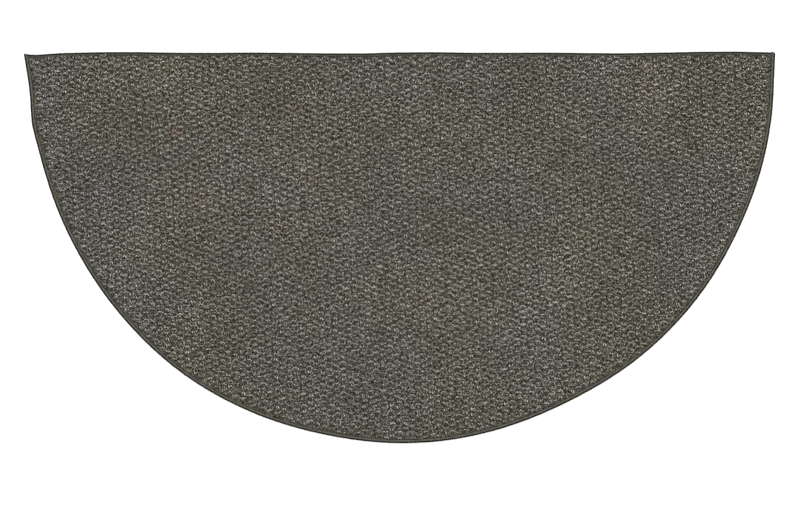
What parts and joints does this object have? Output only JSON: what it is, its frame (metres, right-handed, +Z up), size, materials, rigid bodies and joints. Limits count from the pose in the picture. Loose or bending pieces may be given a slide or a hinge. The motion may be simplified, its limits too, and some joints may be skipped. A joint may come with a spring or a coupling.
{
  "type": "half round hearth rug",
  "caption": "Half round hearth rug of heathered grey loop pile carpet, with one straight edge, one curved edge and a serged yarn border; lies flat.",
  "frame": {"origin": "on the floor, under the centre of the rug's box", "axes": "+X along the straight edge, +Y from the curved edge towards the straight edge, +Z up out of the pile"},
  "size_m": [1.2192, 0.6364, 0.009],
  "materials": {
    "loop_wool": "heathered grey and oatmeal wool loops, matt",
    "edge_wool": "dark grey overcast wool yarn, matt"
  },
  "bodies": {
    "root": {"pile_field": "loop_wool", "serging_straight": "edge_wool", "serging_curve": "edge_wool"}
  },
  "joints": []
}
